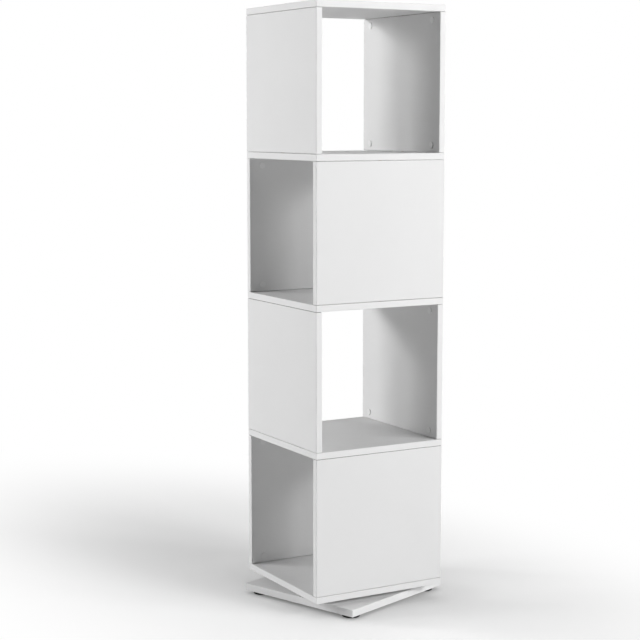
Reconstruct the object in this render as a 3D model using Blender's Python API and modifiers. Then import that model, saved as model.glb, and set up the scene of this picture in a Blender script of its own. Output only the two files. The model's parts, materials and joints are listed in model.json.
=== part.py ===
"""A square revolving bookcase of four open tiers that turns as one on a low base plate.

Metres, +Z up. The origin is on the turning axis at floor level. The front faces -Y and the left side -X.
Tiers are counted from the top. Odd tiers stand on a left and a right panel and are open at the front and
back. Even tiers stand on a front and a back panel and are open at the left and right.
"""

import math

import bmesh
import bpy
from mathutils import Matrix

# Stack of boards and panels
STACK_SIDE = 0.354
BOARD_THICKNESS = 0.016
PANEL_THICKNESS = 0.016
TIER_CLEAR_HEIGHT = 0.334
TIER_COUNT = 4
EDGE_RADIUS = 0.001

# Clearances
SEAT_GAP = 0.0003
RACE_CLEARANCE = 0.0005

# Cam fittings: a cam in a pocket of the panel, its cap, and the bolt that it draws out of the board
CAM_FROM_EDGE = 0.034
CAM_FROM_END = 0.018
CAM_RADIUS = 0.0072
CAM_DEPTH = 0.0125
CAP_RADIUS = 0.0082
CAP_HEIGHT = 0.0017
CAP_CHAMFER = 0.0005
BOLT_RADIUS = 0.003
BOLT_REACH = 0.011

# Dowels, glued into the ends of the panels
DOWEL_RADIUS = 0.004
DOWEL_REACH = 0.010

# Turntable: two rings with a ball race between them
RACE_RADIUS = 0.066
BALL_RADIUS = 0.003
BALL_COUNT = 12
RING_SPACING = 0.003
RING_WIDTH = 0.0175
RING_HEIGHT = 0.0105
RING_STAGGER = 0.0014
CAGE_THICKNESS = 0.0014
CAGE_HEIGHT = 0.0036

# Countersunk screws of the turntable
SCREW_COUNT = 3
SCREW_RADIUS = 0.002
SCREW_HEAD_RADIUS = 0.004
SCREW_HEAD_DEPTH = 0.0024
SCREW_BITE = 0.010
SCREW_TIP = 0.003
ACCESS_HOLE_RADIUS = 0.008

# Base plate and its nailed glides
BASE_SIDE = 0.350
BASE_THICKNESS = 0.018
BASE_TURN = math.radians(20.0)
GLIDE_RADIUS = 0.0225
GLIDE_HEIGHT = 0.008
GLIDE_CHAMFER = 0.0015
GLIDE_INSET = 0.030
NAIL_RADIUS = 0.0018
NAIL_LENGTH = 0.012

# Number of sides of the round pieces
CAP_SIDES = 16
CAM_SIDES = 10
BOLT_SIDES = 8
SCREW_SIDES = 8
GLIDE_SIDES = 20
RING_SIDES = 36
GROOVE_STEPS = 4

# Heights that follow from the sizes above
TURNTABLE_HEIGHT = RING_HEIGHT + RING_STAGGER
PLATE_GAP = TURNTABLE_HEIGHT + 2 * SEAT_GAP
BASE_BOTTOM = GLIDE_HEIGHT + SEAT_GAP
BASE_TOP = BASE_BOTTOM + BASE_THICKNESS
STACK_BOTTOM = BASE_TOP + PLATE_GAP
RACE_HEIGHT = BASE_TOP + PLATE_GAP / 2
TIER_PITCH = TIER_CLEAR_HEIGHT + BOARD_THICKNESS

# Places that more than one piece shares
PANEL_OFFSET = (STACK_SIDE - PANEL_THICKNESS) / 2
CAM_OFFSET = STACK_SIDE / 2 - CAM_FROM_EDGE
OUTER_SCREW_CIRCLE = RACE_RADIUS + (RING_SPACING + RING_WIDTH) / 2
INNER_SCREW_CIRCLE = RACE_RADIUS - (RING_SPACING + RING_WIDTH) / 2
GLIDE_OFFSET = BASE_SIDE / 2 - GLIDE_INSET
GLIDE_PLACES = [(x, y) for x in (-GLIDE_OFFSET, GLIDE_OFFSET) for y in (-GLIDE_OFFSET, GLIDE_OFFSET)]

# For each side of the stack: the way to it along X and Y, and the turn that faces a panel inwards
PANEL_SIDES = {
    "left": (-1, 0, 0.0),
    "right": (1, 0, math.pi),
    "front": (0, -1, math.pi / 2),
    "back": (0, 1, -math.pi / 2),
}

FACING_X = Matrix.Rotation(math.pi / 2, 4, "Y")
UNMOVED = Matrix.Identity(4)


def clear_scene():
    """Take every object of the startup scene away."""
    for obj in list(bpy.data.objects):
        bpy.data.objects.remove(obj, do_unlink=True)


def new_collection(name, hidden=False):
    """A collection under the scene's own one."""
    collection = bpy.data.collections.new(name)
    collection.hide_render = hidden
    bpy.context.scene.collection.children.link(collection)
    return collection


def new_material(name, colour, roughness, metallic=0.0):
    """A Principled material of one colour."""
    material = bpy.data.materials.new(name)
    material.use_nodes = True
    shader = material.node_tree.nodes["Principled BSDF"]
    shader.inputs["Base Color"].default_value = (*colour, 1.0)
    shader.inputs["Roughness"].default_value = roughness
    shader.inputs["Metallic"].default_value = metallic
    return material


def place(name, mesh, material, parent, location=(0, 0, 0), rotation=(0, 0, 0)):
    """One named piece of the bookcase."""
    obj = bpy.data.objects.new(name, mesh)
    PARTS.objects.link(obj)
    obj.parent = parent
    obj.location = location
    obj.rotation_euler = rotation
    obj.data.materials.clear()
    obj.data.materials.append(material)
    return obj


def new_frame(name, location=(0, 0, 0), rotation=(0, 0, 0), parent=None):
    """An empty that carries pieces."""
    empty = bpy.data.objects.new(name, None)
    empty.empty_display_size = 0.03
    PARTS.objects.link(empty)
    empty.parent = parent
    empty.location = location
    empty.rotation_euler = rotation
    return empty


def helper(mesh):
    """A blank or a cutter: it helps to make a mesh and is never rendered."""
    obj = bpy.data.objects.new("helper_" + mesh.name, mesh)
    CUTTERS.objects.link(obj)
    obj.hide_render = True
    obj.display_type = "WIRE"
    return obj


def evaluated_mesh(obj, name):
    """The mesh that an object's modifiers give, as a mesh of its own."""
    bpy.context.view_layer.update()
    graph = bpy.context.evaluated_depsgraph_get()
    mesh = bpy.data.meshes.new_from_object(obj.evaluated_get(graph))
    mesh.name = name
    return mesh


def combine(name, blank, steps):
    """Cut or join a blank with other meshes, in turn. steps holds (operation, mesh) pairs."""
    obj = helper(blank)
    for operation, mesh in steps:
        boolean = obj.modifiers.new(operation.lower(), "BOOLEAN")
        boolean.operation = operation
        boolean.object = helper(mesh)
        boolean.solver = "EXACT"
    return evaluated_mesh(obj, name)


def mesh_of(name, form):
    """The finished form as a mesh, with its faces turned outwards."""
    bmesh.ops.recalc_face_normals(form, faces=form.faces)
    mesh = bpy.data.meshes.new(name)
    form.to_mesh(mesh)
    form.free()
    return mesh


def block(name, size, upright_only=False):
    """A board: a box with rounded edges, or with only its upright edges rounded."""
    form = bmesh.new()
    bmesh.ops.create_cube(form, size=1.0, matrix=Matrix.Diagonal((*size, 1.0)))

    def is_rounded(edge):
        along = edge.verts[0].co - edge.verts[1].co
        return not upright_only or abs(along.z) > max(abs(along.x), abs(along.y))

    rounded = [edge for edge in form.edges if is_rounded(edge)]
    bmesh.ops.bevel(form, geom=rounded, offset=EDGE_RADIUS, segments=2, profile=0.5, affect="EDGES")
    return mesh_of(name, form)


def rods(name, radius, low, high, sides, centres):
    """Upright rods of one radius, from low to high, at the given (x, y) centres.

    The quarter turn puts a corner on +X, where a turned shape has one, so that a rod fits its hole.
    """
    form = bmesh.new()
    for x, y in centres:
        middle = Matrix.Translation((x, y, (low + high) / 2)) @ Matrix.Rotation(-math.pi / 2, 4, "Z")
        bmesh.ops.create_cone(
            form,
            cap_ends=True,
            segments=sides,
            radius1=radius,
            radius2=radius,
            depth=high - low,
            matrix=middle,
        )
    return mesh_of(name, form)


def turned(name, profile, sides, closed=False):
    """A turned shape: (radius, height) points, run down their outer side, screwed round the Z axis."""
    form = bmesh.new()
    points = [form.verts.new((radius, 0.0, height)) for radius, height in profile]
    pairs = list(zip(points, points[1:]))
    if closed:
        pairs.append((points[-1], points[0]))
    for pair in pairs:
        form.edges.new(pair)
    mesh = bpy.data.meshes.new(name + "_profile")
    form.to_mesh(mesh)
    form.free()
    obj = helper(mesh)
    screw = obj.modifiers.new("turn", "SCREW")
    screw.axis = "Z"
    screw.angle = math.tau
    screw.steps = sides
    screw.render_steps = sides
    screw.use_merge_vertices = True
    screw.merge_threshold = 0.00001
    return evaluated_mesh(obj, name)


def joined(name, pieces):
    """Several (mesh, matrix) pieces as the loose shells of one mesh."""
    form = bmesh.new()
    for mesh, matrix in pieces:
        part = mesh.copy()
        part.transform(matrix)
        form.from_mesh(part)
        bpy.data.meshes.remove(part)
    return mesh_of(name, form)


def smooth(mesh, angle=35.0):
    """Shade the round faces of a mesh smooth and keep its sharp edges."""
    mesh.shade_smooth()
    mesh.set_sharp_from_angle(angle=math.radians(angle))
    return mesh


def ring_of(count, radius, start=0.0):
    """(x, y) points, equally spaced on a circle."""
    turns = [start + math.tau * index / count for index in range(count)]
    return [(radius * math.cos(turn), radius * math.sin(turn)) for turn in turns]


def both_signs(first, second):
    """The four points (+-first, +-second)."""
    return [(a * first, b * second) for a in (-1, 1) for b in (-1, 1)]


def cam_fitting_mesh():
    """Cap, cam and bolt in one: the cap faces +X and the bolt points along +Z.

    The origin is where the cam's axis meets the middle plane of the panel.
    """
    face = PANEL_THICKNESS / 2
    under_cap = face + SEAT_GAP
    top = under_cap + CAP_HEIGHT
    inside_cap = under_cap + CAP_HEIGHT / 2
    cap_profile = [
        (0, top),
        (CAP_RADIUS - CAP_CHAMFER, top),
        (CAP_RADIUS, top - CAP_CHAMFER),
        (CAP_RADIUS, under_cap),
        (0, under_cap),
    ]
    cam_end = face - CAM_DEPTH
    cam_profile = [(0, inside_cap), (CAM_RADIUS, inside_cap), (CAM_RADIUS, cam_end), (0, cam_end)]
    cap = joined("cap", [(turned("cap_turned", cap_profile, CAP_SIDES), FACING_X)])
    cam = joined("cam", [(turned("cam_turned", cam_profile, CAM_SIDES), FACING_X)])
    bolt = rods("bolt", BOLT_RADIUS, 0.0, CAM_FROM_END + BOLT_REACH, BOLT_SIDES, [(0, 0)])
    return smooth(combine("cam_fitting", cap, [("UNION", cam), ("UNION", bolt)]))


def panel_mesh():
    """A panel about its centre, with its inner face on +X: cam pockets, bolt bores and end dowels."""
    half = TIER_CLEAR_HEIGHT / 2
    cam_height = half - CAM_FROM_END
    face = PANEL_THICKNESS / 2
    size = (PANEL_THICKNESS, STACK_SIDE, 2 * (half - SEAT_GAP))
    blank = block("panel_blank", size, upright_only=True)

    pocket_floor = face - CAM_DEPTH - SEAT_GAP
    pocket = rods("pocket", CAM_RADIUS + SEAT_GAP, pocket_floor, PANEL_THICKNESS, CAM_SIDES, [(0, 0)])
    places = [Matrix.Translation((0, y, z)) @ FACING_X for y, z in both_signs(CAM_OFFSET, cam_height)]
    pockets = joined("pockets", [(pocket, spot) for spot in places])

    bore_radius = BOLT_RADIUS + SEAT_GAP
    past_end = half + BOARD_THICKNESS
    bore_centres = [(0, -CAM_OFFSET), (0, CAM_OFFSET)]
    upper = rods("upper_bores", bore_radius, cam_height, past_end, BOLT_SIDES, bore_centres)
    lower = rods("lower_bores", bore_radius, -past_end, -cam_height, BOLT_SIDES, bore_centres)
    bores = joined("bores", [(upper, UNMOVED), (lower, UNMOVED)])

    dowel_end = half + DOWEL_REACH
    dowel = rods("dowel", DOWEL_RADIUS, -dowel_end, dowel_end, BOLT_SIDES, [(0, 0)])
    return combine("panel", blank, [("DIFFERENCE", pockets), ("DIFFERENCE", bores), ("UNION", dowel)])


def joint_holes(name, above):
    """Holes for the bolts and dowels of a left and a right panel, in the upper or lower face of a board."""
    face = BOARD_THICKNESS / 2

    def blind(kind, radius, depth, places):
        low, high = (face - depth, BOARD_THICKNESS) if above else (-BOARD_THICKNESS, depth - face)
        return rods(f"{name}_{kind}", radius + SEAT_GAP, low, high, BOLT_SIDES, places)

    bolts = blind("bolts", BOLT_RADIUS, BOLT_REACH + SEAT_GAP, both_signs(PANEL_OFFSET, CAM_OFFSET))
    dowels = blind("dowels", DOWEL_RADIUS, DOWEL_REACH + SEAT_GAP, [(-PANEL_OFFSET, 0), (PANEL_OFFSET, 0)])
    return joined(name, [(bolts, UNMOVED), (dowels, UNMOVED)])


def board_mesh(name, sides_above, sides_below, screws_below=False):
    """A square board about its centre. Each of its faces takes a pair of panels, or none."""
    blank = block(name + "_blank", (STACK_SIDE, STACK_SIDE, BOARD_THICKNESS))
    cuts = []
    for sides, above in ((sides_above, True), (sides_below, False)):
        if sides is None:
            continue
        turn = Matrix.Rotation(PANEL_SIDES[sides[0]][2], 4, "Z")
        holes = joint_holes(f"{name}_holes_{above}", above)
        cuts.append(joined(f"{name}_turned_holes_{above}", [(holes, turn)]))
    if screws_below:
        depth = SCREW_BITE + SEAT_GAP
        cuts.append(pilot_holes("board", OUTER_SCREW_CIRCLE, -BOARD_THICKNESS, depth - BOARD_THICKNESS / 2))
    return combine(name, blank, [("DIFFERENCE", cut) for cut in cuts])


def screw_profile():
    """(radius, height) points of a countersunk screw, head up, with the top of its head at height 0."""
    length = RING_HEIGHT + SEAT_GAP + SCREW_BITE
    return [
        (0, 0),
        (SCREW_HEAD_RADIUS, 0),
        (SCREW_RADIUS, -SCREW_HEAD_DEPTH),
        (SCREW_RADIUS, SCREW_TIP - length),
        (0, -length),
    ]


def countersink_profile():
    """(radius, height) points of a screw's hole through a ring, with the ring's face at height 0."""
    head = SCREW_HEAD_RADIUS + SEAT_GAP
    shank = SCREW_RADIUS + SEAT_GAP
    above = RING_HEIGHT
    through = -2 * RING_HEIGHT
    return [(0, above), (head, above), (head, 0), (shank, -SCREW_HEAD_DEPTH), (shank, through), (0, through)]


def pilot_holes(name, circle, low, high):
    """Upright holes in a board for the screws of one ring."""
    places = ring_of(SCREW_COUNT, circle)
    return rods(name + "_pilots", SCREW_RADIUS + SEAT_GAP, low, high, SCREW_SIDES, places)


def race_ring_mesh(name, outer):
    """A turntable ring about the race's centre: a flat ring with a groove for the balls in one wall.

    The outer ring stands higher by half of the stagger and its screws point up, the inner ring hangs lower
    and its screws point down.
    """
    side = 1 if outer else -1
    wall = RACE_RADIUS + side * RING_SPACING / 2
    rim = wall + side * RING_WIDTH
    shift = side * RING_STAGGER / 2
    low = shift - RING_HEIGHT / 2
    high = shift + RING_HEIGHT / 2
    groove = BALL_RADIUS + RACE_CLEARANCE
    opening = math.acos(RING_SPACING / 2 / groove)
    turns = [opening - 2 * opening * step / GROOVE_STEPS for step in range(GROOVE_STEPS + 1)]
    arc = [(RACE_RADIUS + side * groove * math.cos(turn), groove * math.sin(turn)) for turn in turns]
    if outer:
        profile = [(rim, high), (rim, low), (wall, low), *reversed(arc), (wall, high)]
    else:
        profile = [(wall, high), *arc, (wall, low), (rim, low), (rim, high)]
    blank = turned(name + "_blank", profile, RING_SIDES, closed=True)
    hole = turned(name + "_hole", countersink_profile(), SCREW_SIDES)
    circle = OUTER_SCREW_CIRCLE if outer else INNER_SCREW_CIRCLE
    flip = Matrix.Rotation(math.pi if outer else 0.0, 4, "X")
    face = low if outer else high
    places = [(hole, Matrix.Translation((x, y, face)) @ flip) for x, y in ring_of(SCREW_COUNT, circle)]
    return smooth(combine(name, blank, [("DIFFERENCE", joined(name + "_holes", places))]))


def ball_ring_mesh():
    """The balls of the race and the thin cage that spaces them, as one piece about the race's centre."""
    inner = RACE_RADIUS - CAGE_THICKNESS / 2
    outer = RACE_RADIUS + CAGE_THICKNESS / 2
    half = CAGE_HEIGHT / 2
    section = [(outer, half), (outer, -half), (inner, -half), (inner, half)]
    cage = turned("cage", section, RING_SIDES, closed=True)
    balls = bmesh.new()
    for x, y in ring_of(BALL_COUNT, RACE_RADIUS):
        spot = Matrix.Translation((x, y, 0))
        bmesh.ops.create_uvsphere(balls, u_segments=8, v_segments=4, radius=BALL_RADIUS, matrix=spot)
    return smooth(combine("ball_ring", cage, [("UNION", mesh_of("balls", balls))]))


def glide_mesh():
    """A round glide with its nail. The origin is on the floor under its centre."""
    top = GLIDE_HEIGHT
    profile = [
        (0, top + NAIL_LENGTH),
        (NAIL_RADIUS, top + NAIL_LENGTH - NAIL_RADIUS),
        (NAIL_RADIUS, top),
        (GLIDE_RADIUS, top),
        (GLIDE_RADIUS, GLIDE_CHAMFER),
        (GLIDE_RADIUS - GLIDE_CHAMFER, 0),
        (0, 0),
    ]
    return smooth(turned("glide", profile, GLIDE_SIDES))


def base_plate_mesh():
    """The base plate about its centre, with its holes for the lower screws, the driver and the nails.

    The upper screws are driven through the one access hole, as the turntable is turned over it.
    """
    face = BASE_THICKNESS / 2
    blank = block("base_blank", (BASE_SIDE, BASE_SIDE, BASE_THICKNESS))
    pilots = pilot_holes("base", INNER_SCREW_CIRCLE, face - SCREW_BITE - SEAT_GAP, BASE_THICKNESS)
    access_place = ring_of(1, OUTER_SCREW_CIRCLE, math.pi)
    access = rods("access", ACCESS_HOLE_RADIUS, -BASE_THICKNESS, BASE_THICKNESS, CAP_SIDES, access_place)
    nail_top = NAIL_LENGTH + SEAT_GAP - face
    nails = rods("nails", NAIL_RADIUS + SEAT_GAP, -BASE_THICKNESS, nail_top, BOLT_SIDES, GLIDE_PLACES)
    return combine("base_plate", blank, [("DIFFERENCE", cut) for cut in (pilots, access, nails)])


def tier_sides(index):
    """The two sides on which a tier has its panels, or None above the first tier and below the last."""
    if index < 0 or index >= TIER_COUNT:
        return None
    return ("left", "right") if index % 2 == 0 else ("front", "back")


def build_boards(stack):
    """The square boards, from the top one down. Each closes the tier above it and covers the one below."""
    for index in range(TIER_COUNT + 1):
        lowest = index == TIER_COUNT
        name = "top_board" if index == 0 else "bottom_board" if lowest else f"shelf_{index}"
        mesh = board_mesh(name, tier_sides(index - 1), tier_sides(index), screws_below=lowest)
        height = (TIER_COUNT - index) * TIER_PITCH + BOARD_THICKNESS / 2
        place(name, mesh, WHITE_BOARD, stack, (0, 0, height))


def build_tiers(stack):
    """Two panels for each tier, each with its four cam fittings."""
    panel = panel_mesh()
    fitting = cam_fitting_mesh()
    cam_height = TIER_CLEAR_HEIGHT / 2 - CAM_FROM_END
    for index in range(TIER_COUNT):
        middle = (TIER_COUNT - 1 - index) * TIER_PITCH + BOARD_THICKNESS + TIER_CLEAR_HEIGHT / 2
        for side in tier_sides(index):
            x, y, turn = PANEL_SIDES[side]
            name = f"tier{index + 1}_{side}"
            carrier = new_frame(name, (x * PANEL_OFFSET, y * PANEL_OFFSET, middle), (0, 0, turn), stack)
            place(name + "_panel", panel, WHITE_BOARD, carrier)
            for along, row in both_signs(1, 1):
                end, turn_over = ("top", 0.0) if row > 0 else ("bottom", math.pi)
                edge = "a" if along < 0 else "b"
                spot = (0, along * CAM_OFFSET, row * cam_height)
                place(f"{name}_cam_{end}_{edge}", fitting, WHITE_CAP, carrier, spot, (turn_over, 0, 0))


def build_turntable(base, stack_turn, cage_turn):
    """The two rings, the balls between them and the screws that hold the rings to the boards."""
    place("turntable_outer_ring", race_ring_mesh("outer_ring", True), ALUMINIUM, stack_turn)
    place("turntable_inner_ring", race_ring_mesh("inner_ring", False), ALUMINIUM, base, (0, 0, RACE_HEIGHT))
    place("turntable_ball_ring", ball_ring_mesh(), STEEL, cage_turn)
    screw = smooth(turned("screw", screw_profile(), SCREW_SIDES))
    head = (RING_HEIGHT - RING_STAGGER) / 2
    for number, (x, y) in enumerate(ring_of(SCREW_COUNT, OUTER_SCREW_CIRCLE), 1):
        place(f"upper_screw_{number}", screw, STEEL, stack_turn, (x, y, -head), (math.pi, 0, 0))
    for number, (x, y) in enumerate(ring_of(SCREW_COUNT, INNER_SCREW_CIRCLE), 1):
        place(f"lower_screw_{number}", screw, STEEL, base, (x, y, RACE_HEIGHT + head))


def build_base(base):
    """The base plate and the glide under each of its corners."""
    place("base_plate", base_plate_mesh(), WHITE_BOARD, base, (0, 0, BASE_BOTTOM + BASE_THICKNESS / 2))
    glide = glide_mesh()
    for number, (x, y) in enumerate(GLIDE_PLACES, 1):
        place(f"glide_{number}", glide, BLACK_PLASTIC, base, (x, y, 0))


clear_scene()
PARTS = new_collection("revolving_bookcase")
CUTTERS = new_collection("cutters", hidden=True)
WHITE_BOARD = new_material("white_board", (0.83, 0.83, 0.82), 0.45)
WHITE_CAP = new_material("white_cap", (0.80, 0.80, 0.79), 0.40)
ALUMINIUM = new_material("aluminium", (0.77, 0.78, 0.79), 0.35, 1.0)
STEEL = new_material("zinc_plated_steel", (0.62, 0.63, 0.65), 0.30, 1.0)
BLACK_PLASTIC = new_material("black_plastic", (0.025, 0.025, 0.027), 0.50)

base_frame = new_frame("base", rotation=(0, 0, BASE_TURN))
stack_turn_frame = new_frame("stack_turn", location=(0, 0, RACE_HEIGHT))
cage_turn_frame = new_frame("cage_turn", location=(0, 0, RACE_HEIGHT))
stack_frame = new_frame("stack", location=(0, 0, STACK_BOTTOM - RACE_HEIGHT), parent=stack_turn_frame)

build_base(base_frame)
build_turntable(base_frame, stack_turn_frame, cage_turn_frame)
build_boards(stack_frame)
build_tiers(stack_frame)
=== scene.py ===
"""Looks of a square white revolving bookcase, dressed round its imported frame.

Metres, +Z up, in the frame's own axes: the turning axis is Z, the front faces -Y and the left side -X.
Finer pieces take the places of the frame's plain solids: boards and panels with rounded edges in white
melamine, fluted dowels in the panels' ends, cover caps with the cams and bolts behind them, the turntable's
rings, balls, cage and screws, and the glides with their nails.
"""

import json
import math

import bmesh
import bpy
import numpy as np
from mathutils import Matrix, Vector


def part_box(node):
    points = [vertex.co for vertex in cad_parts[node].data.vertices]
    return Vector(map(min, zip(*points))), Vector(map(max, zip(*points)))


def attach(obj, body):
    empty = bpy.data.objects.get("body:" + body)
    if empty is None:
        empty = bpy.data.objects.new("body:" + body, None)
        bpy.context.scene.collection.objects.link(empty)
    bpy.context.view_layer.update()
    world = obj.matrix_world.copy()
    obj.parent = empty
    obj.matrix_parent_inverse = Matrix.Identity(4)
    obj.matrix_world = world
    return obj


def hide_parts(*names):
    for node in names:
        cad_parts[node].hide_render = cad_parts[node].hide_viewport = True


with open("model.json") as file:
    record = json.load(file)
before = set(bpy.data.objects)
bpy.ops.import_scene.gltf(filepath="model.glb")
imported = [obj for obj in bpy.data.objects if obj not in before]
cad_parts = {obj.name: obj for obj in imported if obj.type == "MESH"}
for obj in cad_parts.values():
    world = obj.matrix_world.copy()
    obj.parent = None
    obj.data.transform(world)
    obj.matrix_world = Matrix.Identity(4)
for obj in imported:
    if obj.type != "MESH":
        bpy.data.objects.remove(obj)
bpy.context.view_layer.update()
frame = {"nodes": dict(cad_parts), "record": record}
NODES = frame["nodes"]
BODY_OF = {node: body for body, members in frame["record"]["behaviour"]["bodies"].items() for node in members}
BOARDS = [name for name in NODES if name.endswith("board") or name.startswith("shelf")]

# Camera at the photograph's viewing angle
CAMERA_PLACE = (-1.982, -3.404, 1.1835)
CAMERA_YAW = math.radians(29.354)
CAMERA_PITCH = math.radians(7.125)
CAMERA_LENS = 90.1
CAMERA_SENSOR = 36.0

# Softboxes: compass angle from +X in degrees, distance from the axis, height of the middle, width, height
# and watts
SOFTBOXES = {
    "left_far": (158.0, 4.85, 1.96, 1.3, 1.3, 71.0),
    "left_upper": (140.0, 4.73, 2.38, 0.9, 0.9, 75.0),
    "left_low": (160.0, 2.2, 0.5, 1.2, 0.9, 3.5),
    "left_behind": (190.0, 1.9, 1.3, 1.4, 2.0, 2.7),
    "right_far": (-68.0, 4.85, 1.96, 1.5, 1.5, 143.5),
    "right_upper": (-50.0, 4.73, 2.38, 0.9, 0.9, 59.6),
    "behind_fill": (40.0, 4.5, 0.75, 2.0, 2.0, 26.0),
    "overhead": (-65.0, 0.3, 2.2, 0.7, 0.7, 2.4),
}
AIM_HEIGHT = 0.75
AMBIENT = 0.011
LIGHT_COLOUR = (1.0, 1.0, 1.0, 1.0)

# Floor: its colour for the lamps' light and for the camera, the glow added for the camera, half its side,
# the oval over which it fades to white, and the reach and the depth of the painted shade where the object is
# near
FLOOR_COLOUR = 0.78
FLOOR_SEEN_COLOUR = 0.865
FLOOR_LIFT = 0.254
FLOOR_HALF = 12.0
OVAL_CENTRE = (-0.018, 0.224, 0.0)
OVAL_TURN = math.radians(9.0)
OVAL_STRETCH = 1.96
FADE_START = 0.086
FADE_REACH = 0.985
CONTACT_REACH = 0.24
CONTACT_SHADE = 0.42

# Melamine: scales of its grain and its clouds, shades of the face, the edge band and its seam, gloss,
# roughness, and strength and depth of its relief. Raw chipboard: shades of the panels' ends, darker than
# chipboard as painted shade in the joints with the boards, and of a hole's wall, and its tint
GRAIN_SCALE = 1400.0
CLOUD_SCALE = 9.0
FACE_SHADES = (0.795, 0.815)
BAND_SHADE = 0.825
SEAM_SHADE = 0.60
MELAMINE_GLOSS = 0.25
MELAMINE_ROUGHNESS = (0.60, 0.70)
MELAMINE_RELIEF = (0.12, 0.00008)
RAW_END_AND_JOINT_SHADES = (0.10, 0.26)
RAW_WALL_SHADES = (0.30, 0.60)
CHIPBOARD_TINT = (1.0, 0.80, 0.58)

# The other finishes: low and high of the shade, its tint, low and high of the roughness, strength and depth
# of the relief. Below them come the glosses and the scales of the patterns, per metre
WHITE = (1.0, 1.0, 1.0)
FINISHES = {
    "cap_plastic": ((0.8148, 0.8652), WHITE, (0.35, 0.45), 0.30, 0.00003),
    "cage_plastic": ((0.0291, 0.0309), WHITE, (0.40, 0.50), 0.30, 0.00003),
    "glide_plastic": ((0.0194, 0.0206), WHITE, (0.50, 0.60), 0.30, 0.00005),
    "turned_aluminium": ((0.741, 0.8112), (0.99, 1.0, 1.01), (0.28, 0.42), 0.25, 0.00003),
    "zinc_plate": ((0.58, 0.68), (1.0, 1.01, 1.03), (0.24, 0.38), 0.15, 0.00002),
    "beech": ((0.80, 1.10), (0.60, 0.41, 0.25), (0.60, 0.75), 0.30, 0.00005),
}
PLAIN_DETAIL = 2.0
FINE_DETAIL = 3.0
PLAIN_GLOSS = 0.5
DULL_GLOSS = 0.2
CAP_GRAIN = 2500.0
CAGE_GRAIN = 2200.0
GLIDE_GRAIN = 1800.0
CLOUD_PER_GRAIN = 12
GROOVE_SCALE = 2600.0
ALUMINIUM_CLOUDS = 60.0
CRYSTAL_SCALE = 1800.0
ZINC_CLOUDS = 300.0
FIBRE_SCALE = 1500.0
FIBRE_STRETCH = 0.06

# Boards: rounding of the edges, its steps, the flat strip beside it that keeps the faces flat, the edge band,
# the height from tier to tier and one past the whole object for a board that doesn't repeat, the middle of
# the lowest tier, the gap of a joint, and how deep the raw chipboard starts, at the panels' ends darkened
# into painted shade in the joints
ROUNDING = 0.0015
ROUND_STEPS = 6
FLAT_STRIP = 0.0004
BAND_THICKNESS = 0.0020
SEAM_WIDTH = 0.00025
BASE_TURN = math.radians(20.0)
TIER_PITCH = 0.350
LONE_PITCH = 1.0
TIER_MIDDLE = 0.2218
JOINT_GAP = 0.0006
CORE_DEPTH = 0.0002
SKIN = 0.0006

# Joinery: the gap round each fitting, the fluted dowels in the panels' ends, and the hole for the screwdriver
SEAT_GAP = 0.0003
HOLE_SIDES = 24
POCKET_SIDES = 48
DOWEL_RADIUS = 0.004
DOWEL_LENGTH = 0.030
DOWEL_REACH = 0.010
DOWEL_EASE = 0.0008
DOWEL_FLUTES = 12
SIDES_PER_FLUTE = 8
FLUTE_DEPTH = 0.0003
ACCESS_RADIUS = 0.008

# Cover caps, as wide as the frame's. An outline is its corners as (radius, height), and a rounding goes with
# each of its inner corners
PANEL_THICKNESS = 0.016
CAP_RADIUS = 0.0082
CAP_HEIGHT = 0.0024
CAP_CROWN = 0.0002
CAP_EDGE = 0.0008
CAP_FOOT = 0.0076
CAP_SPIGOT = ((0.0048, 0.0), (0.0045, -0.0028), (0.0037, -0.0028), (0.0037, 0.0006), (0.0, 0.0006))
CAP_ROUNDING = (0.0006, 0.0001, 0, 0.0002, 0.0002, 0)
CAP_ROWS = 7
CAP_SIDES = 48

# Cams, as large as the frame's. A recess is its arm, its half width and its depth
CAM_RADIUS = 0.0072
CAM_DEPTH = 0.0125
CAM_WAIST = 0.0052
CAM_EASE = 0.0004
CAM_RECESS = (0.0046, 0.0009, 0.0024)
CAM_OUTLINE = ((CAM_RADIUS - CAM_EASE, 0.0), (CAM_RADIUS, -CAM_EASE), (CAM_RADIUS, -0.0032),
               (CAM_WAIST, -0.0040), (CAM_WAIST, -0.0092), (CAM_RADIUS, -0.0100), (CAM_RADIUS, -CAM_DEPTH),
               (0.0, -CAM_DEPTH))
CAM_ROUNDING = (0, 0.0003, 0.0003, 0.0003, 0.0003, 0.0004)
CAM_FILLET_STEPS = 2
CAM_ROWS = 9
CAM_SIDES = 32
CAM_SINK = 0.0001

# Bolts, as large as the frame's. The collar's heights count down from the start of the thread
BOLT_RADIUS = 0.003
BOLT_NECK = 0.0019
BOLT_CORE = 0.0021
BOLT_PITCH = 0.0025
BOLT_REACH = 0.011
BOLT_HEAD = ((0.0, -0.0022), (0.0016, -0.0018), (0.0024, -0.0006), (0.0024, 0.0006), (BOLT_NECK, 0.0016))
BOLT_COLLAR = ((BOLT_NECK, 0.003), (BOLT_RADIUS, 0.0022), (BOLT_RADIUS, 0.0002))
BOLT_TIP_RADIUS = 0.0012
BOLT_TIP_LENGTH = 0.0008
BOLT_SIDES = 16
BOLT_ROWS_PER_TURN = 8

# Turntable, as large as the frame's
RACE_RADIUS = 0.066
BALL_RADIUS = 0.003
BALL_COUNT = 12
BALL_STEPS = 16
BALL_SIDES = 28
RING_SPACING = 0.003
RING_WIDTH = 0.0175
RING_EASE = 0.0004
RING_FILLET_STEPS = 3
RING_SIDES = 144
GROOVE_CLEARANCE = 0.0005
GROOVE_STEPS = 12
CAGE_THICKNESS = 0.0014
CAGE_HEIGHT = 0.0036
CAGE_SWELL = 0.0012
CAGE_EASE = 0.0003
CAGE_EDGE_SHARE = 0.9
CAGE_COLUMNS_PER_BALL = 24

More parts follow.
